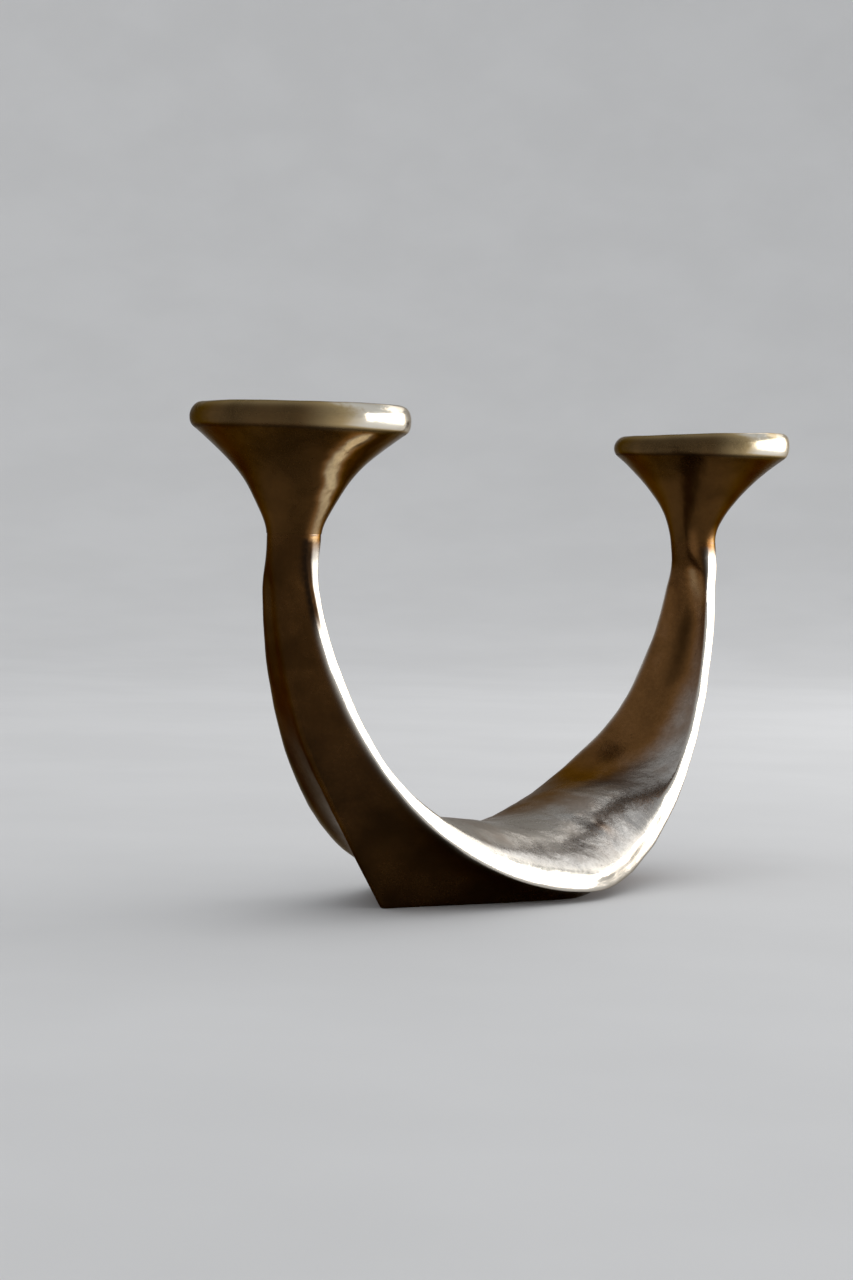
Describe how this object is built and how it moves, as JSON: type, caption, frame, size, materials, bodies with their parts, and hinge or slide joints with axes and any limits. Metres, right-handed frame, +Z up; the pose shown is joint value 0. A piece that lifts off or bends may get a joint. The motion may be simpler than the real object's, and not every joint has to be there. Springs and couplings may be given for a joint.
{
  "type": "candle holder",
  "caption": "U-shaped cast bronze candle holder with a saddle foot and a trumpet cup brazed on top of each leg for a dinner candle.",
  "frame": {"origin": "on the table under the middle of the U", "axes": "+X from the left cup to the right cup, +Y from the front to the back, +Z up along the candles"},
  "size_m": [0.1982, 0.0506, 0.1039],
  "materials": {
    "cast_bronze": "sand cast and filed, dark brown patina with edges rubbed bright",
    "turned_bronze": "turned, satin, warm brown with a bright lip",
    "brazing_alloy": "filed flush with the stem",
    "dowel_steel": "drawn bar, hidden inside"
  },
  "bodies": {
    "root": {"body_casting": "cast_bronze", "left_cup": "turned_bronze", "right_cup": "turned_bronze", "left_braze": "brazing_alloy", "right_braze": "brazing_alloy", "left_dowel": "dowel_steel", "right_dowel": "dowel_steel"}
  },
  "joints": []
}
